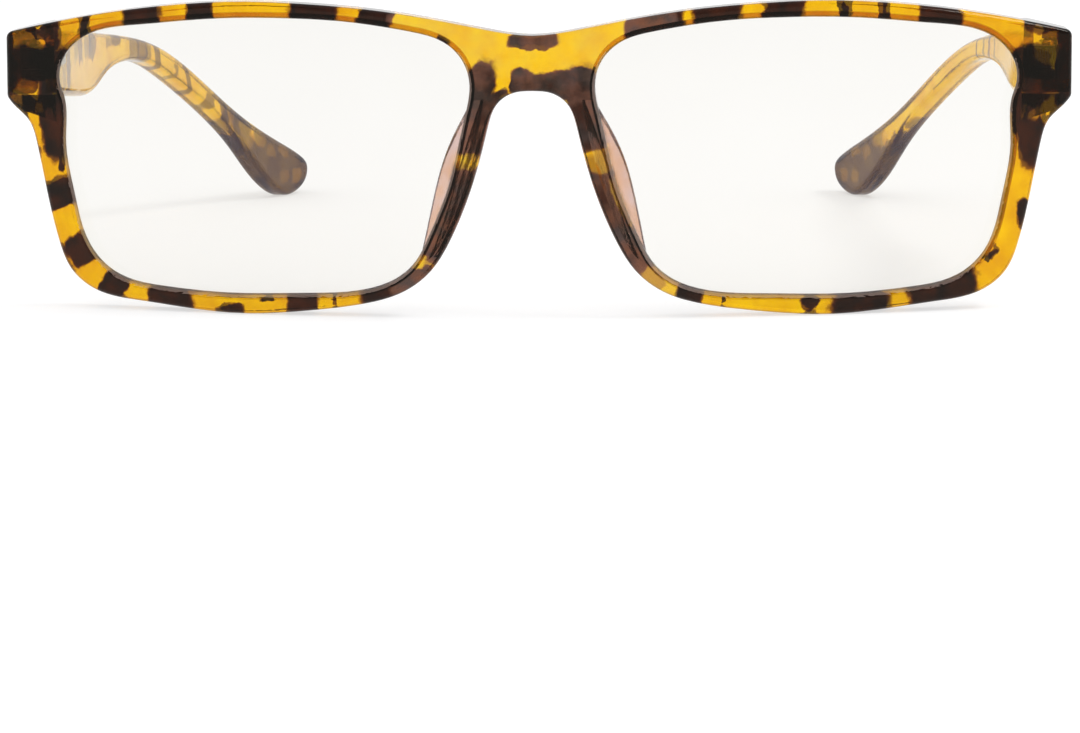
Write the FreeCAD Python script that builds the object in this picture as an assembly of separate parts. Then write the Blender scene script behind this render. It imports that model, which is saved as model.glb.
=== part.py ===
import FreeCAD, Part
import os

# Rectangular computer glasses with spring hinges, open and standing on the lower rims and the tips.
# Working frame: +X is the wearer's left, +Y runs back along the temples, +Z is up, and the foremost
# point of the bridge is at Y = 0. Export moves the origin to the middle of the footprint.
# Every shape is made for the wearer's left and mirrored for the right.

V = FreeCAD.Vector
MIDPLANE = (V(0, 0, 0), V(1, 0, 0))

# ---- front, mm ----
OVERALL_DEPTH = 137.1        # bridge to temple tips
FRONT_HALF_WIDTH = 70.0
FACE_RADIUS = 200.0          # spherical face curve of the front
FACE_LEVEL = 20.0            # height of the centre of that sphere
RIM_DEPTH = 3.8              # front to back through a rim
END_PIECE_BACK = 18.3        # rear face of the end pieces
CORNER_ROUND = 1.0
OUTER_ROUND = 0.8            # polished edge around the outside of the front
INNER_ROUND = 0.45           # the same around the lens openings
REAR_ROUND = 0.4

# ---- lenses, mm ----
LENS_THICKNESS = 2.0
LENS_SETBACK = 0.9           # front of the rim to the front of the lens
LENS_PLAY = 0.05
TONGUE_WIDTH = 1.0           # thickness of the tongue on the lens edge
TONGUE_REACH = 0.6           # how far the tongue enters the rim
TONGUE_PLAY = 0.03

# ---- hinges, mm ----
HINGE_X = 66.0
HINGE_Y = 19.7
HINGE_Z = 31.8
HINGE_HEIGHT = 4.1           # two knuckles and the eye between them
KNUCKLE_RADIUS = 1.25
EYE_HEIGHT = 1.2
EYE_PLAY = 0.06              # above and below the eye
SCREW_RADIUS = 0.6
SCREW_PLAY = 0.02
EYE_RECESS = 0.15            # clearance round the eye, between the knuckles
PLATE_INSET = 0.2            # rear face of the end piece to the leaf's plate
PLATE_THICKNESS = 0.9
PLATE_HALF_WIDTH = 1.8
PRONG_LENGTH = 2.6
PRONG_HALF_WIDTH = 1.0
TOOTH_COUNT = 3              # on each side of a prong
TOOTH_HALF_WIDTH = 1.45
TOOTH_PITCH = 0.8
TOOTH_LENGTH = 0.4
HEAD_RADIUS = 1.05
HEAD_HEIGHT = 0.6
HEAD_ROUND = 0.25
CROSS_HALF_LENGTH = 0.7      # the driver's cross in the screw head
CROSS_HALF_WIDTH = 0.12
CROSS_DEPTH = 0.35
NOTCH_PLAY = 0.3             # temple to the knuckles and the screw head
NOTCH_WIDTH = 5.0

# ---- temples, mm ----
TEMPLE_START = 18.5
TEMPLE_INNER = 65.5          # inner face beside the hinge
TEMPLE_THICKNESS = 4.2
TIP_THICKNESS = 3.5
TEMPLE_ROUND = 1.0
THINNING_LENGTH = 45.0       # run over which a temple thins from the one thickness to the other
BOW_START = 50.0             # where the temples begin to curve towards each other
BOW_END = 135.0
BOW_REACH = 22.0

# ---- spring hinge, mm ----
HOUSING_START = HINGE_Y + 2.1
HOUSING_LENGTH = 12.5
HOUSING_HEIGHT = 3.4
HOUSING_THICKNESS = 2.7
HOUSING_ROUND = 0.45
HOUSING_PROUD = 0.25         # how far it stands out of the inner face of the temple
HOUSING_WALL = 0.6           # at its closed end
BORE_RADIUS = 0.95
ROD_RADIUS = 0.45
ROD_PLAY = 0.05
ROD_OVERRUN = 0.2            # end of the rod beyond the stop
NECK_INSET = 0.3             # of the neck that joins the eye to the rod
NECK_HALF_WIDTH = 0.75
NECK_PLAY = 0.1
ROD_X = TEMPLE_INNER - HOUSING_PROUD + HOUSING_THICKNESS / 2
BUSH_LENGTH = 1.5
SPRING_START = HOUSING_START + BUSH_LENGTH
SPRING_LENGTH = 7.6
SPRING_RADIUS = 0.68         # to the middle of the wire
WIRE_RADIUS = 0.13
SPRING_TURNS = 11
STOP_RADIUS = 0.87
STOP_LENGTH = 0.7

# ---- front elevation, wearer's left, (x, z) ----
TOP_MIDDLE = (0, 36.65)
TOP_EDGE = [(6, 37.4), (14, 38.9), (22, 40.0), (30, 40.6), (38, 40.8), (46, 40.35), (54, 39.4),
            (62, 38.0), (FRONT_HALF_WIDTH, 36.2)]
LOWER_EDGE = [(FRONT_HALF_WIDTH, 27.8), (68.7, 26.3), (67.0, 24.7), (66.0, 22.0), (64.6, 14.8),
              (63.2, 8.8), (61.7, 5.2), (58.6, 2.6), (52.0, 1.2), (44, 0.3), (38, 0.0), (30, 0.55),
              (22, 1.7), (17.4, 3.1), (13.4, 6.0), (10.6, 10.4), (7.9, 17.0), (5.8, 24.6), (4.5, 27.9),
              (2.4, 29.3)]
LOWER_MIDDLE = (0, 29.55)
LENS_OPENING = [(62.4, 28.6), (62.0, 33.2), (59.2, 35.9), (51.6, 37.65), (42, 38.55), (33, 38.75), (24, 38.35),
                (16, 37.2), (10.2, 35.0), (8.1, 31.2), (8.8, 25.6), (10.9, 17.0), (13.3, 11.1), (16.2, 6.2),
                (21.2, 3.6), (30, 2.75), (40, 2.5), (49, 3.1), (55.6, 4.75), (59.2, 8.6), (60.9, 14.6),
                (62.0, 21.6)]

# ---- the solid corner behind the front that carries a hinge, (x, y) and (y, z) ----
END_PIECE_PLAN = [(75.0, 0.0), (75.0, 30.0), (64.4, 30.0), (64.4, END_PIECE_BACK), (63.0, 14.2), (63.0, 0.0)]
END_PIECE_SIDE = [(0.0, 23.0), (12.5, 23.0), (END_PIECE_BACK, 27.6), (30.0, 27.6), (30.0, 45.0), (0.0, 45.0)]

# ---- side elevation of a temple, (y, z) ----
TEMPLE_TOP = [(TEMPLE_START, 36.1), (40.0, 34.3), (65.0, 31.9), (80.0, 30.1), (92.0, 27.6), (104.0, 22.7),
              (119.0, 14.4), (130.5, 8.7), (135.2, 6.3)]
TEMPLE_TIP = [(137.0, 4.6), (136.7, 2.3), (134.3, 0.45), (131.5, 0.05), (128.4, 1.2)]
TEMPLE_UNDER = [(119.0, 9.1), (109.0, 16.0), (97.0, 22.0), (86.5, 25.7), (76.0, 26.6), (68.0, 25.8),
                (60.0, 24.1), (50.0, 24.2), (36.0, 25.7), (TEMPLE_START, 27.7)]
# depths at which the plan of a temple is set out
TEMPLE_STATIONS = [TEMPLE_START, 35.0, BOW_START, 65.0, 80.0, 95.0, 110.0, 125.0, 140.0]

# ---- nose pad, (z, x of its front edge, reach back, flare outwards, half thickness) ----
PAD_SECTIONS = [(7.4, 12.5, 4.3, 1.5, 0.45), (10.5, 10.6, 5.9, 2.3, 0.75), (15.0, 8.6, 7.2, 3.1, 0.95),
                (20.0, 7.0, 7.6, 3.3, 1.0), (24.5, 6.0, 6.3, 2.6, 0.8), (28.2, 5.5, 4.3, 1.6, 0.5)]
PAD_INSET = 0.1              # nose side of the pad behind the edge of the rim
PAD_ROOT = 0.9               # where the pad starts, within the rim
PAD_ROOT_WIDTH = 2.3
PAD_ROOT_BACK = 2.2
PAD_BEND = 0.45              # share of its reach at which its sides are widest
PAD_EDGE = 0.4               # rounding of its rear edge

# everything that is cut through the front runs from well ahead of it to well behind it
CUT_START = -5.0
CUT_LENGTH = 35.0
BEYOND = 90.0               # further than any edge of the model from the middle
OUTLINE_STEPS = 44          # points on an outline that is moved outwards


def front_points(points):
    return [V(x, 0, z) for x, z in points]


def curve(points, closed=False):
    spline = Part.BSplineCurve()
    spline.interpolate(Points=points, PeriodicFlag=closed)
    return spline.toShape()


def mirrored_points(points):
    return [(-x, z) for x, z in reversed(points)]


def both(shape):
    """A shape and its mirror image."""
    return [shape, shape.mirror(*MIDPLANE)]


def run_back(wire, start, length):
    """A front elevation outline run along the depth of the model."""
    face = Part.Face(wire)
    face.translate(V(0, start, 0))
    return face.extrude(V(0, length, 0))


def block(x, y, z):
    return Part.makeBox(x[1] - x[0], y[1] - y[0], z[1] - z[0], V(x[0], y[0], z[0]))


def upright(radius, z):
    """A cylinder on the hinge axis."""
    return Part.makeCylinder(radius, z[1] - z[0], V(HINGE_X, HINGE_Y, z[0]), V(0, 0, 1))


def about_hinge(half_width):
    """The stretch of X that reaches equally far to both sides of the hinge axis."""
    return (HINGE_X - half_width, HINGE_X + half_width)


def on_rod(radius, y):
    """A cylinder on the axis of the spring rod."""
    return Part.makeCylinder(radius, y[1] - y[0], V(ROD_X, y[0], HINGE_Z), V(0, 1, 0))


def face_ball(depth):
    """The ball whose surface lies the given depth behind the front of the rims."""
    return Part.makeSphere(FACE_RADIUS - depth, V(0, FACE_RADIUS, FACE_LEVEL))


def face_edges(shape, depth):
    """The edges that lie on the surface of one face ball."""
    centre = V(0, FACE_RADIUS, FACE_LEVEL)
    found = []
    for edge in shape.Edges:
        misses = [abs(point.distanceToPoint(centre) - FACE_RADIUS + depth) for point in edge.discretize(5)]
        if max(misses) < 0.001:
            found.append(edge)
    return found


def front_blank():
    """The outline run straight back, with its four corners rounded."""
    top = [*mirrored_points(TOP_EDGE), TOP_MIDDLE, *TOP_EDGE]
    lower = [*LOWER_EDGE, LOWER_MIDDLE, *mirrored_points(LOWER_EDGE)]
    top_edge = curve(front_points(top))
    lower_edge = curve(front_points(lower))
    left_end = Part.makeLine(*front_points([top[-1], lower[0]]))
    right_end = Part.makeLine(*front_points([lower[-1], top[0]]))
    blank = run_back(Part.Wire([top_edge, left_end, lower_edge, right_end]), CUT_START,
                     END_PIECE_BACK - CUT_START)
    corners = []
    for edge in blank.Edges:
        ends = [abs(point.x) for point in edge.discretize(3)]
        if min(ends) > FRONT_HALF_WIDTH - 0.01 and edge.Length > END_PIECE_BACK:
            corners.append(edge)
    return blank.makeFillet(CORNER_ROUND, corners)


def end_piece():
    """The region behind an outer corner of the front that stays solid to carry the hinge."""
    plan_wire = Part.makePolygon([V(x, y, 0) for x, y in [*END_PIECE_PLAN, END_PIECE_PLAN[0]]])
    side_wire = Part.makePolygon([V(0, y, z) for y, z in [*END_PIECE_SIDE, END_PIECE_SIDE[0]]])
    in_plan = Part.Face(plan_wire).extrude(V(0, 0, BEYOND))
    in_side = Part.Face(side_wire).extrude(V(BEYOND, 0, 0))
    return in_plan.common(in_side)


def lens_outline(growth):
    """The edge of a lens opening, moved outwards by the given distance."""
    opening = curve(front_points(LENS_OPENING), closed=True)
    first, last = opening.ParameterRange
    points = []
    for step in range(OUTLINE_STEPS):
        place = first + (last - first) * step / OUTLINE_STEPS
        outward = V(0, 1, 0).cross(opening.tangentAt(place))
        points.append(opening.valueAt(place) + outward * growth)
    return Part.Wire([curve(points, closed=True)])


def lens_slab(growth, front_depth, back_depth):
    """A piece of spherical shell inside the lens outline, grown by the given distance."""
    slab = run_back(lens_outline(growth), CUT_START, CUT_LENGTH)
    return slab.common(face_ball(front_depth)).cut(face_ball(back_depth))


def lens_tongue(play):
    """The raised middle of the lens edge, which the rim's groove holds."""
    middle = LENS_SETBACK + LENS_THICKNESS / 2
    half = TONGUE_WIDTH / 2 + play
    return lens_slab(TONGUE_REACH + play, middle - half, middle + half)


def lens():
    body = lens_slab(-LENS_PLAY, LENS_SETBACK, LENS_SETBACK + LENS_THICKNESS)
    return body.fuse(lens_tongue(0.0)).removeSplitter()


def nose_pad():
    """A moulded pad that flares back from the nose side of a rim and fades into it at both ends."""
    wires = []
    for z, x, reach, flare, half in PAD_SECTIONS:
        middle = PAD_ROOT + PAD_BEND * reach
        lens_side = x + half + PAD_EDGE
        section = [(x + PAD_INSET, PAD_ROOT), (x + flare / 3, middle), (x + flare, reach + PAD_EDGE),
                   (lens_side + flare, reach - PAD_EDGE / 2), (lens_side + flare / 2, middle - PAD_EDGE / 2),
                   (x + PAD_ROOT_WIDTH, PAD_ROOT_BACK)]
        points = [V(px, py, z) for px, py in section]
        wires.append(Part.Wire([curve(points, closed=True)]))
    return Part.makeLoft(wires, True, False).common(face_ball(OUTER_ROUND))


def front_frame():
    """The moulded front: both rims, the bridge, the end pieces and the nose pads in one piece."""
    front = front_blank().common(face_ball(0.0))
    hollow = face_ball(RIM_DEPTH).common(block((-BEYOND, BEYOND), (0.0, CUT_LENGTH), (-BEYOND, BEYOND)))
    front = front.cut(hollow.cut(both(end_piece())))
    front = front.cut(both(run_back(lens_outline(0.0), CUT_START, CUT_LENGTH)))
    outer = [edge for edge in face_edges(front, 0.0) if not edge.isClosed()]
    front = front.makeFillet(OUTER_ROUND, outer)
    inner = [edge for edge in face_edges(front, 0.0) if edge.isClosed()]
    front = front.makeFillet(INNER_ROUND, inner)
    rear = [edge for edge in face_edges(front, RIM_DEPTH) if edge.isClosed()]
    front = front.makeFillet(REAR_ROUND, rear)
    front = front.fuse(both(nose_pad()))
    return front.cut([*both(lens_tongue(TONGUE_PLAY)), *both(front_leaf())])


def front_leaf():
    """Two knuckles on a plate, with serrated prongs moulded into the end piece."""
    low = HINGE_Z - HINGE_HEIGHT / 2
    high = HINGE_Z + HINGE_HEIGHT / 2
    eye_low = HINGE_Z - EYE_HEIGHT / 2 - EYE_PLAY
    eye_high = HINGE_Z + EYE_HEIGHT / 2 + EYE_PLAY
    plate_back = END_PIECE_BACK - PLATE_INSET
    plate_front = plate_back - PLATE_THICKNESS
    prong_front = plate_front - PRONG_LENGTH
    pieces = []
    for span in ((low, eye_low), (eye_high, high)):
        pieces.append(upright(KNUCKLE_RADIUS, span))
        pieces.append(block(about_hinge(KNUCKLE_RADIUS), (plate_front, HINGE_Y), span))
        pieces.append(block(about_hinge(PRONG_HALF_WIDTH), (prong_front, plate_front), span))
        for tooth in range(TOOTH_COUNT):
            y = prong_front + TOOTH_LENGTH / 2 + TOOTH_PITCH * tooth
            pieces.append(block(about_hinge(TOOTH_HALF_WIDTH), (y, y + TOOTH_LENGTH), span))
    plate = block(about_hinge(PLATE_HALF_WIDTH), (plate_front, plate_back), (low, high))
    eye_space = upright(KNUCKLE_RADIUS + EYE_RECESS, (eye_low, eye_high))
    bore = upright(SCREW_RADIUS + SCREW_PLAY, (low - 1.0, high + 1.0))
    return plate.fuse(pieces).cut([eye_space, bore]).removeSplitter()


def hinge_screw():
    low = HINGE_Z - HINGE_HEIGHT / 2
    high = HINGE_Z + HINGE_HEIGHT / 2
    top = high + HEAD_HEIGHT
    head = upright(HEAD_RADIUS, (high, top))
    rim = [edge for edge in head.Edges if edge.BoundBox.ZMin > top - 0.001]
    head = head.makeFillet(HEAD_ROUND, rim)
    cross = []
    for half_x, half_y in ((CROSS_HALF_LENGTH, CROSS_HALF_WIDTH), (CROSS_HALF_WIDTH, CROSS_HALF_LENGTH)):
        arm = block(about_hinge(half_x), (HINGE_Y - half_y, HINGE_Y + half_y), (top - CROSS_DEPTH, top + 1.0))
        cross.append(arm)
    return upright(SCREW_RADIUS, (low, high)).fuse(head).cut(cross)


def temple_blank():
    """A temple where its side elevation meets its plan, with every long edge rounded."""
    outline = [V(0, y, z) for y, z in [*TEMPLE_TOP, *TEMPLE_TIP, *TEMPLE_UNDER]]
    side_wire = Part.Wire([curve(outline), Part.makeLine(outline[-1], outline[0])])
    side = Part.Face(side_wire).extrude(V(BEYOND, 0, 0))

    inner = []
    outer = []
    for y in TEMPLE_STATIONS:
        bow = BOW_REACH * (max(0.0, y - BOW_START) / (BOW_END - BOW_START)) ** 2
        thinning = max(0.0, min(1.0, (y - BOW_START) / THINNING_LENGTH))
        thickness = TEMPLE_THICKNESS + (TIP_THICKNESS - TEMPLE_THICKNESS) * thinning
        inner.append(V(TEMPLE_INNER - bow, y, -1.0))
        outer.append(V(TEMPLE_INNER - bow + thickness, y, -1.0))
    outer.reverse()
    tip_end = Part.makeLine(inner[-1], outer[0])
    hinge_end = Part.makeLine(outer[-1], inner[0])
    plan_wire = Part.Wire([curve(inner), tip_end, curve(outer), hinge_end])
    blank = side.common(Part.Face(plan_wire).extrude(V(0, 0, BEYOND)))
    long_edges = []
    for edge in blank.Edges:
        if max(point.y for point in edge.discretize(5)) > TEMPLE_START + 0.01:
            long_edges.append(edge)
    return blank.makeFillet(TEMPLE_ROUND, long_edges)


def temple():
    """The temple with its pocket for the spring housing and its notch round the knuckles."""
    notch_x = (HINGE_X - NOTCH_WIDTH, HINGE_X + KNUCKLE_RADIUS + NOTCH_PLAY)
    notch_low = HINGE_Z - HINGE_HEIGHT / 2 - NOTCH_PLAY
    notch_high = HINGE_Z + HINGE_HEIGHT / 2 + HEAD_HEIGHT + NOTCH_PLAY
    notch = block(notch_x, (TEMPLE_START - 1.0, HOUSING_START), (notch_low, notch_high))
    return temple_blank().cut([housing_blank(), notch])


def housing_blank():
    x = (TEMPLE_INNER - HOUSING_PROUD, TEMPLE_INNER - HOUSING_PROUD + HOUSING_THICKNESS)
    y = (HOUSING_START, HOUSING_START + HOUSING_LENGTH)
    z = (HINGE_Z - HOUSING_HEIGHT / 2, HINGE_Z + HOUSING_HEIGHT / 2)
    box = block(x, y, z)
    lengthwise = [edge for edge in box.Edges if abs(edge.Length - HOUSING_LENGTH) < 0.01]
    return box.makeFillet(HOUSING_ROUND, lengthwise)


def spring_housing():
    bore_end = HOUSING_START + HOUSING_LENGTH - HOUSING_WALL
    return housing_blank().cut(on_rod(BORE_RADIUS, (HOUSING_START - 1.0, bore_end)))


def mouth_bush():
    """The bush that closes the housing and that the spring pushes against."""
    ring = on_rod(BORE_RADIUS, (HOUSING_START, SPRING_START))
    return ring.cut(on_rod(ROD_RADIUS + ROD_PLAY, (HOUSING_START - 1.0, SPRING_START + 1.0)))


def plunger():
    """The eye on the hinge screw, with the rod that runs back into the housing."""
    height = (HINGE_Z - EYE_HEIGHT / 2, HINGE_Z + EYE_HEIGHT / 2)
    neck_x = (HINGE_X - NECK_INSET, ROD_X + NECK_HALF_WIDTH)
    neck = block(neck_x, (HINGE_Y, HOUSING_START - NECK_PLAY), height)
    rod_end = SPRING_START + SPRING_LENGTH + STOP_LENGTH + ROD_OVERRUN
    rod = on_rod(ROD_RADIUS, (HINGE_Y + KNUCKLE_RADIUS, rod_end))
    bore = upright(SCREW_RADIUS + SCREW_PLAY, (height[0] - 1.0, height[1] + 1.0))
    return upright(KNUCKLE_RADIUS, height).fuse([neck, rod]).cut(bore).removeSplitter()


def coil_spring():
    """The compression spring on the rod, between the bush and the stop."""
    pitch = (SPRING_LENGTH - 2 * WIRE_RADIUS) / SPRING_TURNS
    helix = Part.Wire(Part.makeHelix(pitch, pitch * SPRING_TURNS, SPRING_RADIUS))
    section = Part.Wire([Part.makeCircle(WIRE_RADIUS, V(SPRING_RADIUS, 0, 0), V(0, 1, 0))])
    coil = helix.makePipeShell([section], True, True)
    coil.rotate(V(0, 0, 0), V(1, 0, 0), -90.0)
    coil.translate(V(ROD_X, SPRING_START + WIRE_RADIUS, HINGE_Z))
    return coil


def spring_stop():
    """The disc pressed onto the end of the rod, which compresses the spring."""
    start = SPRING_START + SPRING_LENGTH
    disc = on_rod(STOP_RADIUS, (start, start + STOP_LENGTH))
    return disc.cut(on_rod(ROD_RADIUS, (start - 1.0, start + STOP_LENGTH + 1.0)))


LEFT_PIECES = {
    "lens": lens,
    "front_leaf": front_leaf,
    "hinge_screw": hinge_screw,
    "temple": temple,
    "spring_housing": spring_housing,
    "mouth_bush": mouth_bush,
    "plunger": plunger,
    "coil_spring": coil_spring,
    "spring_stop": spring_stop,
}


def all_parts():
    parts = {"front_frame": front_frame()}
    for name, make in LEFT_PIECES.items():
        left, right = both(make())
        parts["left_" + name] = left
        parts["right_" + name] = right
    return parts


os.makedirs("parts", exist_ok=True)
for node, shape in all_parts().items():
    shape.translate(V(0, -OVERALL_DEPTH / 2, 0))
    box = shape.BoundBox
    size = "%.2f x %.2f x %.2f" % (box.XLength, box.YLength, box.ZLength)
    print(node, "solids", len(shape.Solids), "valid", shape.isValid(), "volume %.2f" % shape.Volume, size)
    shape.exportStep("parts/" + node + ".step")
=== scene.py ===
import math

import bpy
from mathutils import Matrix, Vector


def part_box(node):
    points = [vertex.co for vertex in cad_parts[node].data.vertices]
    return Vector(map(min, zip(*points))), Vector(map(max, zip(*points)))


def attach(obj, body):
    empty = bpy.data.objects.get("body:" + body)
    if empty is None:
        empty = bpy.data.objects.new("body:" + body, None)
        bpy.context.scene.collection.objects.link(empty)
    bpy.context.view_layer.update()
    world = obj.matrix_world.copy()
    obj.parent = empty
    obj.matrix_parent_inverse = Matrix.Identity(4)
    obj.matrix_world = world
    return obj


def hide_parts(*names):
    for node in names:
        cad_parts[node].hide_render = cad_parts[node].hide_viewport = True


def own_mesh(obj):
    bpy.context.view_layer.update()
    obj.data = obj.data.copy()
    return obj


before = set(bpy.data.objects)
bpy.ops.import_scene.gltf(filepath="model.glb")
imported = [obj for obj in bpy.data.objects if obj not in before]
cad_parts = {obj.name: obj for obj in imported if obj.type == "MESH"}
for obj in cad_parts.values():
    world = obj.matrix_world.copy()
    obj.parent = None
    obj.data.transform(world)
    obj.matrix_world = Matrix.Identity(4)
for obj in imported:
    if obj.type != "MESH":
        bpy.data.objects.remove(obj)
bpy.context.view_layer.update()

MM = 0.001
SIDES = ("left", "right")

# The bridge is at the front of the CAD box, and depths along the temples are measured back from it.
BRIDGE_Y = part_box("front_frame")[0].y


# ---------------------------------------------------------------- stage, light and camera

CAMERA_PLACE = (0.0229, -0.56855, 0.0782)
CAMERA_DOWN = 9.56          # degrees below the horizon
CAMERA_ROLL = 0.31
CAMERA_TURN = 2.47
CAMERA_LENS = 130.6         # mm, on a 36 mm sensor
FLOOR_HALF = 40.0
FLOOR_GLOW = 0.62           # a lit table, which keeps the shadows pale


def make_camera():
    data = bpy.data.cameras.new("camera")
    data.lens = CAMERA_LENS
    data.sensor_width = 36.0
    data.sensor_fit = "HORIZONTAL"
    data.clip_start = 0.01
    data.clip_end = 200.0
    camera = bpy.data.objects.new("camera", data)
    camera.location = CAMERA_PLACE
    camera.rotation_euler = [math.radians(a) for a in (90.0 - CAMERA_DOWN, CAMERA_ROLL, CAMERA_TURN)]
    bpy.context.scene.collection.objects.link(camera)
    bpy.context.scene.camera = camera


def make_floor():
    mesh = bpy.data.meshes.new("floor")
    corners = [(-FLOOR_HALF, -FLOOR_HALF, 0), (FLOOR_HALF, -FLOOR_HALF, 0),
               (FLOOR_HALF, FLOOR_HALF, 0), (-FLOOR_HALF, FLOOR_HALF, 0)]
    mesh.from_pydata(corners, [], [(0, 1, 2, 3)])
    floor = bpy.data.objects.new("floor", mesh)
    bpy.context.scene.collection.objects.link(floor)
    material = bpy.data.materials.new("white_table")
    material.use_nodes = True
    shader = material.node_tree.nodes["Principled BSDF"]
    shader.inputs["Base Color"].default_value = (0.5, 0.5, 0.5, 1.0)
    shader.inputs["Emission Color"].default_value = (1.0, 1.0, 1.0, 1.0)
    shader.inputs["Emission Strength"].default_value = FLOOR_GLOW
    shader.inputs["Roughness"].default_value = 0.8
    shader.inputs["Specular IOR Level"].default_value = 0.0
    mesh.materials.append(material)


def make_world():
    """A white room whose ceiling is darker than its walls."""
    world = bpy.data.worlds.new("studio")
    world.use_nodes = True
    bpy.context.scene.world = world
    tree = world.node_tree
    place = tree.nodes.new("ShaderNodeTexCoord")
    split = tree.nodes.new("ShaderNodeSeparateXYZ")
    tree.links.new(place.outputs["Generated"], split.inputs[0])
    ramp = tree.nodes.new("ShaderNodeValToRGB")
    tree.links.new(split.outputs["Z"], ramp.inputs["Fac"])
    ramp.color_ramp.elements[0].position = 0.12
    ramp.color_ramp.elements[0].color = (1.0, 1.0, 1.0, 1.0)
    ramp.color_ramp.elements[1].position = 0.6
    ramp.color_ramp.elements[1].color = (0.40, 0.40, 0.41, 1.0)
    tree.links.new(ramp.outputs["Color"], tree.nodes["Background"].inputs["Color"])
    tree.nodes["Background"].inputs["Strength"].default_value = 1.05


def make_light(name, kind, energy, place, aim):
    data = bpy.data.lights.new(name, kind)
    data.energy = energy
    light = bpy.data.objects.new(name, data)
    light.location = place
    light.rotation_euler = (Vector(aim) - Vector(place)).to_track_quat("-Z", "Y").to_euler()
    bpy.context.scene.collection.objects.link(light)
    return light


def make_lights():
    dome = make_light("overhead", "SUN", 1.0, (-0.2, -0.35, 1.0), (0, 0, 0))
    dome.data.angle = math.radians(100.0)
    dome.visible_glossy = False
    box = make_light("softbox", "AREA", 2.2, (0.55, -0.05, 0.75), (0.04, 0, 0.03))
    box.data.shape = "RECTANGLE"
    box.data.size = 0.45
    box.data.size_y = 0.22


# ---------------------------------------------------------------- material building

def new_material(name):
    material = bpy.data.materials.new(name)
    material.use_nodes = True
    return material, material.node_tree, material.node_tree.nodes["Principled BSDF"]


def add(tree, kind, inputs=(), **settings):
    """A new node. Inputs maps a socket to a value or to an output to link."""
    node = tree.nodes.new(kind)
    for name, value in settings.items():
        setattr(node, name, value)
    for socket, value in dict(inputs).items():
        if isinstance(value, bpy.types.NodeSocket):
            tree.links.new(value, node.inputs[socket])
        else:
            node.inputs[socket].default_value = value
    return node


def math_node(tree, operation, *values):
    return add(tree, "ShaderNodeMath", dict(enumerate(values)), operation=operation).outputs[0]


def vector_node(tree, operation, *values):
    return add(tree, "ShaderNodeVectorMath", dict(enumerate(values)), operation=operation)


def ramp_node(tree, value, stops):
    node = add(tree, "ShaderNodeValToRGB", {"Fac": value})
    ramp = node.color_ramp
    while len(ramp.elements) < len(stops):
        ramp.elements.new(1.0)
    for element, (position, colour) in zip(ramp.elements, stops):
        element.position = position
        element.color = (*colour, 1.0)
    return node.outputs["Color"]


def grey(level):
    return (level,) * 3


def step_down(tree, value, inside, outside):
    """1 where value is below inside, 0 above outside, smooth in between."""
    inputs = {"Value": value, "From Min": inside, "From Max": outside, "To Min": 1.0, "To Max": 0.0}
    return add(tree, "ShaderNodeMapRange", inputs, interpolation_type="SMOOTHSTEP").outputs["Result"]


def mix_colour(tree, share, first, second):
    node = add(tree, "ShaderNodeMix", {"Factor": share}, data_type="RGBA")
    for socket, value in (("A", first), ("B", second)):
        places = [s for s in node.inputs if s.name == socket and s.type == "RGBA"]
        if isinstance(value, bpy.types.NodeSocket):
            tree.links.new(value, places[0])
        else:
            places[0].default_value = (*value, 1.0)
    return [s for s in node.outputs if s.type == "RGBA"][0]


def noise(tree, place, scale, detail=2.0, roughness=0.5, colour=False):
    inputs = {"Vector": place, "Scale": scale, "Detail": detail, "Roughness": roughness}
    node = add(tree, "ShaderNodeTexNoise", inputs)
    return node.outputs["Color" if colour else "Fac"]


def bump(tree, shader, height, strength, distance):
    node = add(tree, "ShaderNodeBump", {"Height": height, "Strength": strength, "Distance": distance})
    tree.links.new(node.outputs["Normal"], shader.inputs["Normal"])


# ---------------------------------------------------------------- tortoiseshell

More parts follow.
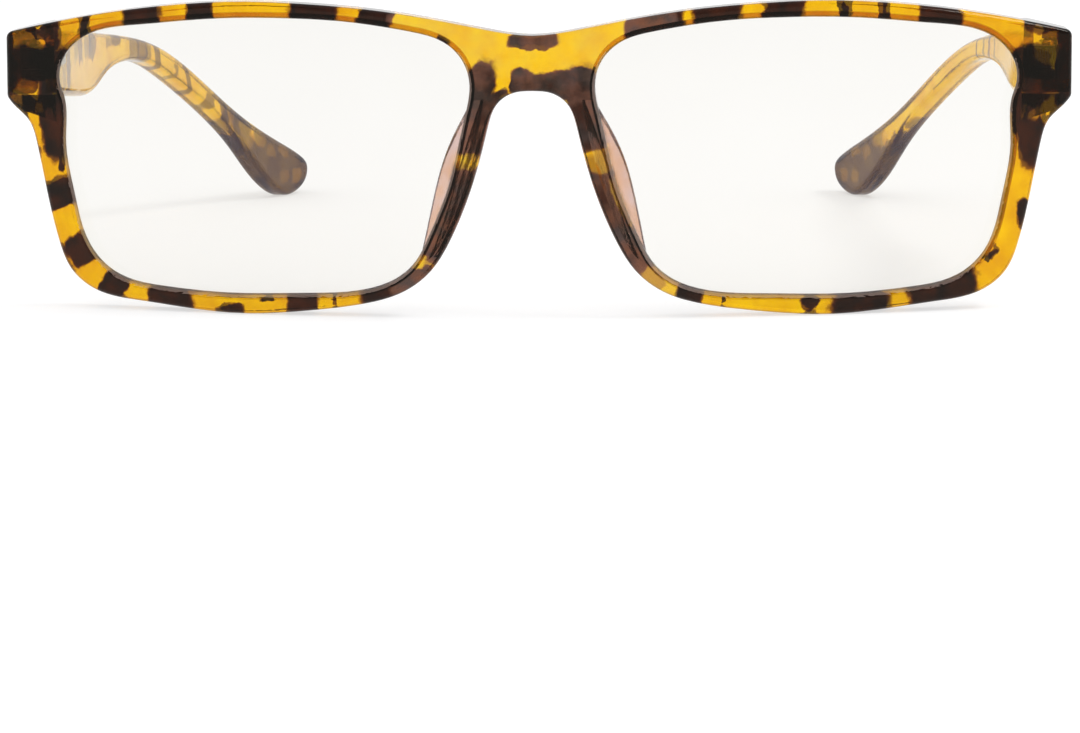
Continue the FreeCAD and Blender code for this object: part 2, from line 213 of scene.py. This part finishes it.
# Each patch is a rounded bar (across, up, half width, half height, lean in degrees) in millimetres.
# On the front, across is X to the wearer's left. The bars across a rim are taller than the rim.
FRONT_DARK = [
    # upper rims
    (-58.9, 37.9, 0.6, 3.0, -8), (-51.3, 38.8, 2.5, 3.0, -6), (-43.3, 39.4, 1.75, 3.0, 3),
    (-28.4, 39.4, 3.1, 3.0, -8), (-20.2, 38.6, 2.0, 3.0, -28), (-11.4, 36.0, 0.9, 0.4, -30),
    (15.7, 38.3, 3.6, 3.0, -10), (23.7, 39.2, 3.0, 3.0, -8), (32.2, 39.6, 2.2, 3.0, -28),
    (39.9, 39.8, 0.55, 3.0, 22), (45.1, 39.4, 0.55, 3.0, 5), (52.5, 38.6, 2.7, 3.0, 0),
    # bridge
    (0.2, 36.1, 3.2, 1.0, 0), (-1.6, 30.8, 1.1, 1.5, -10),
    (1.0, 30.3, 3.0, 1.5, 0), (5.6, 30.6, 3.0, 1.8, 10),
    (-4.6, 28.0, 2.2, 1.3, 30),
    # nose sides
    (-7.5, 27.0, 1.9, 6.4, -14), (-6.4, 23.5, 1.6, 3.6, -16), (-10.6, 14.0, 2.7, 7.0, -23),
    (7.3, 27.0, 2.5, 5.4, 15), (8.9, 15.7, 1.2, 2.0, 20),
    (10.1, 17.0, 2.6, 5.2, 24), (12.4, 8.7, 2.4, 4.0, 32),
    (15.2, 5.0, 1.4, 1.9, 45),
    # lower rims
    (-17.4, 3.9, 5.0, 1.9, 22), (-30.3, 1.5, 2.0, 3.0, 0),
    (-34.9, 2.1, 0.9, 0.4, 10), (-26.1, 2.6, 0.3, 0.7, 0),
    (-40.0, 0.1, 1.9, 0.9, 12), (-47.9, 1.6, 2.6, 3.0, 28), (-55.6, 3.4, 1.6, 3.0, -38),
    (20.0, 2.4, 1.7, 3.0, -18), (28.7, 0.2, 1.9, 0.3, 0),
    (24.7, 2.5, 0.25, 0.5, 0), (35.9, 1.9, 1.0, 1.2, -42),
    (42.3, 1.2, 3.4, 3.0, -34), (53.2, 3.1, 4.5, 1.9, 14),
    # outer sides
    (-59.6, 7.9, 2.1, 2.6, -60), (-61.9, 15.4, 3.6, 1.9, 20), (-63.5, 25.2, 1.9, 5.6, 6),
    (-62.4, 19.6, 0.5, 1.6, 0),
    (64.0, 12.4, 1.2, 1.9, 0), (64.2, 24.8, 2.0, 6.2, 10), (59.6, 7.2, 0.4, 1.0, -40),
    # end pieces
    (-65.6, 31.6, 4.8, 2.8, 0), (-69.8, 32.0, 0.9, 5.6, 0), (-67.0, 26.9, 2.6, 0.8, -20),
    (-63.7, 36.3, 1.1, 2.4, 15), (-65.8, 36.3, 2.0, 0.5, -25),
    (64.4, 30.9, 2.8, 3.4, 0), (69.3, 32.0, 1.6, 5.6, 0),
    (67.0, 37.4, 3.4, 1.4, -5), (67.5, 29.6, 2.6, 1.6, 0),
]
# Windows of clear amber within the dark patches.
FRONT_CLEAR = [
    (-66.8, 29.0, 1.7, 1.1, -8), (-65.4, 26.4, 0.7, 0.7, 0), (-8.5, 20.5, 2.0, 1.0, 0),
    (66.7, 33.6, 1.7, 1.5, -20), (65.2, 25.6, 0.7, 1.2, -25),
    (9.1, 20.6, 2.0, 1.5, 20), (4.0, 28.2, 0.5, 0.4, 0),
    (11.7, 15.6, 0.9, 3.6, 26), (15.4, 4.9, 1.6, 1.9, 45),
]
# On a temple, across is the depth behind the bridge. The temple lists also hold painted shade: tall dark bars
# just behind the hinge, where shade falls.
RIGHT_TEMPLE_PATCHES_AND_SHADE = [
    # The two tall upright bars just behind the hinge are painted shade, not patches in the acetate.
    (26.5, 31.0, 2.6, 6.0, 0), (37.7, 32.5, 1.4, 6.0, 0),
    (47.8, 32.5, 1.5, 3.0, 6), (57.4, 32.5, 2.3, 3.0, 0),
    (72.0, 31.6, 2.0, 2.0, 0), (83.3, 29.6, 1.8, 3.6, 6),
    (90.0, 26.0, 0.8, 4.0, 20), (101.0, 21.5, 0.5, 4.0, 26),
    (99.0, 17.5, 4.0, 0.7, -24), (112.0, 16.5, 0.8, 2.6, 26), (118.4, 11.4, 2.0, 4.2, 30),
    (131.0, 4.6, 9.5, 5.4, -28),
]
LEFT_TEMPLE_PATCHES_AND_SHADE = [
    # The first bar, tall and just behind the hinge, is painted shade, not a patch in the acetate.
    (24.0, 31.0, 3.2, 5.0, 15), (34.0, 33.0, 2.0, 1.4, 0),
    (45.0, 28.0, 1.6, 1.6, 20), (58.0, 33.0, 2.4, 0.9, 5),
    (76.0, 29.0, 0.5, 6.0, 6), (82.8, 29.0, 0.4, 6.0, 8),
    (106.0, 15.4, 4.5, 0.4, -26), (116.0, 9.6, 6.0, 1.9, -30),
    (131.0, 4.8, 9.5, 5.4, -28),
]
TEMPLE_CLEAR = [(122.5, 10.6, 2.6, 1.5, -30), (129.5, 7.4, 1.6, 0.9, -25), (133.0, 3.0, 1.3, 1.2, 0)]

HONEY = (0.97, 0.60, 0.002)
DEEP_HONEY = (0.76, 0.34, 0.006)
AMBER = (0.40, 0.11, 0.006)
BROWN = (0.085, 0.020, 0.006)
UMBER = (0.050, 0.013, 0.006)
BLACK = (0.012, 0.007, 0.006)
OLIVE = (0.17, 0.090, 0.014)
KHAKI = (0.10, 0.048, 0.012)
GROOVE_TAN = (0.56, 0.42, 0.36)
PAD_PEACH = (0.86, 0.52, 0.34)
PAD_ROSE = (0.84, 0.62, 0.58)
ACETATE_TINT = (0.32, 0.30, 0.26, 1.0)
ACETATE_IOR = 1.49

SWIRL = 1.9                 # how far the clouding moves the patches, mm
WINDOW_STRENGTH = 0.48      # how much of a patch's darkness a window takes away
DEEPER_PER_MM = 0.0022      # how the front's honey deepens away from the bridge
PAD_BACK = (3.6, 4.8)       # depths between which the pads' tint starts, mm
PAD_SIDE = (18.0, 19.0)     # distances from the middle between which it ends, mm


def nearest_patch(tree, place, patches):
    """How far a place is from the patches: 0 in the middle of one and 1 on its edge."""
    nearest = None
    for across, up, half_width, half_height, lean in patches:
        inputs = {"Vector": place, "Location": (across, up, 0.0), "Rotation": (0, 0, math.radians(lean)),
                  "Scale": (half_width, half_height, 1.0)}
        local = add(tree, "ShaderNodeMapping", inputs, vector_type="TEXTURE").outputs[0]
        squared = vector_node(tree, "MULTIPLY", local, local).outputs[0]
        size = vector_node(tree, "LENGTH", squared).outputs["Value"]
        nearest = size if nearest is None else math_node(tree, "MINIMUM", nearest, size)
    return nearest


def pad_tint(tree, split, millimetres):
    """Where the front's nose pads stand behind its rims, and their paler colour."""
    behind = math_node(tree, "SUBTRACT", split.outputs["Y"], BRIDGE_Y / MM)
    beside = math_node(tree, "ABSOLUTE", split.outputs["X"])
    is_behind = math_node(tree, "SUBTRACT", 1.0, step_down(tree, behind, *PAD_BACK))
    share = math_node(tree, "MULTIPLY", is_behind, step_down(tree, beside, *PAD_SIDE))
    cloud = noise(tree, millimetres, 0.25, detail=2.0)
    return share, ramp_node(tree, cloud, [(0.4, PAD_PEACH), (0.6, PAD_ROSE)])


def tortoiseshell(name, dark, clear, is_temple=False, is_groove=False):
    """Clear honey acetate with dark brown patches that run through it, under a polished surface. On the
    temples the tall bars just behind the hinge are painted shade, not patches.

    The walls of the lens grooves have the same patches under a dull skin.
    """
    material, tree, shader = new_material(name)
    position = add(tree, "ShaderNodeTexCoord").outputs["Object"]
    place = vector_node(tree, "SCALE", position)
    place.inputs["Scale"].default_value = 1.0 / MM
    millimetres = place.outputs[0]
    swirl = noise(tree, millimetres, 0.42, detail=3.0, roughness=0.55, colour=True)
    moved = vector_node(tree, "MULTIPLY_ADD", swirl, (SWIRL,) * 3, millimetres).outputs[0]
    centred = vector_node(tree, "SUBTRACT", moved, (SWIRL / 2,) * 3).outputs[0]
    split = add(tree, "ShaderNodeSeparateXYZ", {0: centred})
    across = split.outputs["X"]
    if is_temple:
        across = math_node(tree, "SUBTRACT", split.outputs["Y"], BRIDGE_Y / MM)
    flat = add(tree, "ShaderNodeCombineXYZ", {"X": across, "Y": split.outputs["Z"]}).outputs[0]

    patch = nearest_patch(tree, flat, dark)
    window = nearest_patch(tree, flat, clear)
    edge = noise(tree, millimetres, 0.6, detail=2.0)
    spread = (1.3, 2.6) if is_temple else (1.12, 1.75)
    soft_end = add(tree, "ShaderNodeMapRange", {"Value": edge, "From Min": 0.3, "From Max": 0.7,
                                                "To Min": spread[0], "To Max": spread[1]}).outputs["Result"]
    darkness = step_down(tree, patch, 0.72, soft_end)
    opening = math_node(tree, "MULTIPLY", step_down(tree, window, 0.4, 1.5), WINDOW_STRENGTH)
    darkness = math_node(tree, "SUBTRACT", darkness, opening)
    cloud = noise(tree, millimetres, 0.22, detail=4.0, roughness=0.6)
    if not is_temple:
        beside = math_node(tree, "ABSOLUTE", across)
        cloud = math_node(tree, "MULTIPLY_ADD", beside, DEEPER_PER_MM, cloud)
    honey = ramp_node(tree, cloud, [(0.38, HONEY), (0.78, DEEP_HONEY)])
    depth = ramp_node(tree, darkness, [(0.0, grey(0)), (0.25, grey(0.10)), (0.5, grey(0.72)), (0.72, grey(1))])
    cores = (KHAKI, OLIVE) if is_temple else (BLACK, UMBER)
    core = ramp_node(tree, noise(tree, millimetres, 0.3, detail=3.0), [(0.42, cores[0]), (0.62, cores[1])])
    fringe = ramp_node(tree, darkness, [(0.35, AMBER), (0.7, OLIVE if is_temple else BROWN)])
    core_share = ramp_node(tree, darkness, [(0.68, grey(0)), (0.96, grey(1))])
    dark_colour = mix_colour(tree, core_share, fringe, core)
    colour = mix_colour(tree, depth, honey, dark_colour)
    if is_groove:
        colour = mix_colour(tree, 0.5, colour, GROOVE_TAN)
    elif not is_temple:
        share, tint = pad_tint(tree, split, millimetres)
        colour = mix_colour(tree, share, colour, tint)
    tree.links.new(colour, shader.inputs["Base Color"])

    polish = noise(tree, millimetres, 2.5, detail=3.0)
    gloss = (0.35, 0.5) if is_groove else (0.05, 0.11)
    wear = ramp_node(tree, polish, [(0.3, grey(gloss[0])), (0.7, grey(gloss[1]))])
    tree.links.new(wear, shader.inputs["Roughness"])
    ripple = noise(tree, millimetres, 0.4, detail=1.0)
    bump(tree, shader, ripple, 0.2, 0.0001)
    shader.inputs["Transmission Weight"].default_value = 0.5 if is_groove else 0.92
    shader.inputs["IOR"].default_value = ACETATE_IOR
    shader.inputs["Specular Tint"].default_value = ACETATE_TINT
    return material


# ---------------------------------------------------------------- lenses and metals

LENS_IOR = 1.56
LENS_TINT = (0.40, 0.33, 0.48, 1.0)


def lens_material():
    material, tree, shader = new_material("blue_filter_lens")
    position = add(tree, "ShaderNodeTexCoord").outputs["Object"]
    haze = noise(tree, position, 60.0, detail=1.0)
    colour = ramp_node(tree, haze, [(0.3, (0.868, 0.858, 0.828)), (0.7, (0.876, 0.866, 0.836))])
    tree.links.new(colour, shader.inputs["Base Color"])
    smear = noise(tree, position, 350.0, detail=3.0)
    polish = ramp_node(tree, smear, [(0.4, grey(0.0)), (0.9, grey(0.012))])
    tree.links.new(polish, shader.inputs["Roughness"])
    shader.inputs["Transmission Weight"].default_value = 1.0
    shader.inputs["IOR"].default_value = LENS_IOR
    shader.inputs["Specular Tint"].default_value = LENS_TINT
    return material


def lens_edge_material():
    """The ground edge of a lens, which shows as a dull band inside the rim."""
    material, tree, shader = new_material("ground_lens_edge")
    position = add(tree, "ShaderNodeTexCoord").outputs["Object"]
    grind = noise(tree, position, 4000.0, detail=2.0)
    cloud = noise(tree, position, 150.0, detail=2.0)
    colour = ramp_node(tree, cloud, [(0.35, (0.50, 0.42, 0.42)), (0.65, (0.66, 0.55, 0.49))])
    tree.links.new(colour, shader.inputs["Base Color"])
    rough = ramp_node(tree, grind, [(0.3, grey(0.45)), (0.7, grey(0.65))])
    tree.links.new(rough, shader.inputs["Roughness"])
    bump(tree, shader, grind, 0.3, 0.00002)
    shader.inputs["Transmission Weight"].default_value = 0.45
    shader.inputs["IOR"].default_value = LENS_IOR
    return material


def metal_material(name, colour, roughness, grain_axis):
    """Drawn or turned metal: fine lines along one axis, with duller and brighter areas."""
    material, tree, shader = new_material(name)
    position = add(tree, "ShaderNodeTexCoord").outputs["Object"]
    stretch = [9000.0, 9000.0, 9000.0]
    stretch[grain_axis] = 400.0
    grain_place = vector_node(tree, "MULTIPLY", position, tuple(stretch)).outputs[0]
    grain = noise(tree, grain_place, 1.0, detail=2.0)
    cloud = noise(tree, position, 900.0, detail=3.0)
    darker = tuple(0.72 * c for c in colour)
    tree.links.new(ramp_node(tree, cloud, [(0.3, darker), (0.65, colour)]), shader.inputs["Base Color"])
    low = grey(roughness * 0.75)
    high = grey(roughness * 1.35)
    tree.links.new(ramp_node(tree, grain, [(0.3, low), (0.7, high)]), shader.inputs["Roughness"])
    bump(tree, shader, grain, 0.3, 0.00001)
    shader.inputs["Metallic"].default_value = 1.0
    return material


X_AXIS, Y_AXIS, Z_AXIS = range(3)
NICKEL_SILVER = (0.60, 0.57, 0.52)
BRIGHT_STEEL = (0.66, 0.66, 0.67)
BRASS = (0.68, 0.46, 0.17)
SPRING_STEEL = (0.50, 0.51, 0.54)


BASE_CURVE = 0.200          # radius of the front's wrap, m
GROOVE_DEPTH = 0.0046       # how far behind the front face the lens walls reach, m
PAD_START = 0.0012          # how far behind the front face the nose pads begin, m
PAD_HALF_SPAN = 0.017       # the pads lie within this distance of the middle, m
OPENING_MARGIN = 0.002      # how far outside the lens its opening's walls are looked for, m
LENS_WALL_TILT = 0.3        # largest part of a lens wall's normal along Y
GROOVE_TILT = 0.88          # the same for the front's walls, with their round edges
UPPER_RIM_TILT = 0.3        # walls that face down more than this belong to the upper rim


def dress(node, *materials):
    """Gives a CAD node its materials, and returns its mesh."""
    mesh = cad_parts[node].data
    mesh.materials.clear()
    for material in materials:
        mesh.materials.append(material)
    return mesh


def dress_lens(node, clear, edge):
    """Gives a lens its clear material, and the walls that run along Y the ground one."""
    for face in dress(node, clear, edge).polygons:
        face.material_index = 1 if abs(face.normal.y) < LENS_WALL_TILT else 0


def dress_front(material, groove):
    """Gives the front its material, and the walls and round edges of its lens openings the duller one.

    The upper rims and the nose pads keep the polished one.
    """
    lens_low, lens_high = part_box("left_lens")
    middle = (lens_low + lens_high) / 2
    reach = (lens_high - lens_low) / 2
    for face in dress("front_frame", material, groove).polygons:
        sideways = face.center.x - math.copysign(middle.x, face.center.x)
        upward = face.center.z - middle.z
        wrap = (face.center.x ** 2 + upward ** 2) / (2 * BASE_CURVE)
        depth = face.center.y - BRIDGE_Y - wrap
        faces_in = face.normal.x * sideways + face.normal.z * upward < 0
        near = abs(sideways) < reach.x + OPENING_MARGIN and abs(upward) < reach.z + OPENING_MARGIN
        turns_in = abs(face.normal.y) < GROOVE_TILT and face.normal.z > -UPPER_RIM_TILT
        deepest = PAD_START if abs(face.center.x) < PAD_HALF_SPAN else GROOVE_DEPTH
        is_wall = turns_in and faces_in and near and depth < deepest
        face.material_index = 1 if is_wall else 0


def make_materials():
    lens = lens_material()
    lens_edge = lens_edge_material()
    leaf = metal_material("nickel_silver", NICKEL_SILVER, 0.28, Z_AXIS)
    screw = metal_material("screw_steel", BRIGHT_STEEL, 0.2, Z_AXIS)
    housing = metal_material("housing_steel", NICKEL_SILVER, 0.32, Y_AXIS)
    bush = metal_material("turned_brass", BRASS, 0.25, X_AXIS)
    plunger = metal_material("plunger_steel", BRIGHT_STEEL, 0.22, Y_AXIS)
    dress_front(tortoiseshell("front_tortoiseshell", FRONT_DARK, FRONT_CLEAR),
                tortoiseshell("front_groove", FRONT_DARK, FRONT_CLEAR, is_groove=True))
    temples = {"left": LEFT_TEMPLE_PATCHES_AND_SHADE, "right": RIGHT_TEMPLE_PATCHES_AND_SHADE}
    for side in SIDES:
        name = side + "_temple_tortoiseshell"
        dress(side + "_temple", tortoiseshell(name, temples[side], TEMPLE_CLEAR, is_temple=True))
        dress_lens(side + "_lens", lens, lens_edge)
        dress(side + "_front_leaf", leaf)
        dress(side + "_hinge_screw", screw)
        dress(side + "_spring_housing", housing)
        dress(side + "_mouth_bush", bush)
        dress(side + "_spring_stop", bush)
        dress(side + "_plunger", plunger)


# ---------------------------------------------------------------- springs

SPRING_TURNS = 11
END_TURNS = 1.2              # turns at each end that lie against each other
WIRE_RADIUS = 0.13 * MM
STEPS_PER_TURN = 40
WIRE_SIDES = 14


def spring_mesh(name, low, high):
    """A wound spring along Y between two corners, with closed ends."""
    centre_x = (low.x + high.x) / 2
    centre_z = (low.z + high.z) / 2
    coil_radius = (high.x - low.x) / 2 - WIRE_RADIUS
    length = high.y - low.y - 2 * WIRE_RADIUS
    closed = 2.06 * WIRE_RADIUS * END_TURNS
    steps = SPRING_TURNS * STEPS_PER_TURN
    vertices = []
    for step in range(steps + 1):
        turn = step / STEPS_PER_TURN
        angle = 2 * math.pi * turn
        from_end = min(turn, SPRING_TURNS - turn)
        if from_end < END_TURNS:
            along = closed * from_end / END_TURNS
        else:
            free = SPRING_TURNS - 2 * END_TURNS
            along = closed + (length - 2 * closed) * (from_end - END_TURNS) / free
        if turn > SPRING_TURNS / 2:
            along = length - along
        for side in range(WIRE_SIDES):
            around = 2 * math.pi * side / WIRE_SIDES
            out = coil_radius + WIRE_RADIUS * math.cos(around)
            vertices.append((centre_x + out * math.cos(angle),
                             low.y + WIRE_RADIUS + along + WIRE_RADIUS * math.sin(around),
                             centre_z + out * math.sin(angle)))
    faces = []
    for step in range(steps):
        for side in range(WIRE_SIDES):
            following = (side + 1) % WIRE_SIDES
            ring = step * WIRE_SIDES
            faces.append((ring + side, ring + following,
                          ring + WIRE_SIDES + following, ring + WIRE_SIDES + side))
    faces.append(tuple(range(WIRE_SIDES - 1, -1, -1)))
    faces.append(tuple(steps * WIRE_SIDES + side for side in range(WIRE_SIDES)))
    mesh = bpy.data.meshes.new(name)
    mesh.from_pydata(vertices, [], faces)
    mesh.shade_smooth()
    return mesh


def make_springs():
    wire = metal_material("spring_wire_steel", SPRING_STEEL, 0.25, Y_AXIS)
    for side in SIDES:
        low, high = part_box(side + "_coil_spring")
        spring = bpy.data.objects.new(side + "_wound_spring", spring_mesh(side + "_wound_spring", low, high))
        spring.data.materials.append(wire)
        bpy.context.scene.collection.objects.link(spring)
        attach(spring, side + "_hinge_plunger")
        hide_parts(side + "_coil_spring")
        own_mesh(spring)


bpy.context.scene.view_settings.view_transform = "Standard"
make_camera()
make_floor()
make_world()
make_lights()
make_materials()
make_springs()
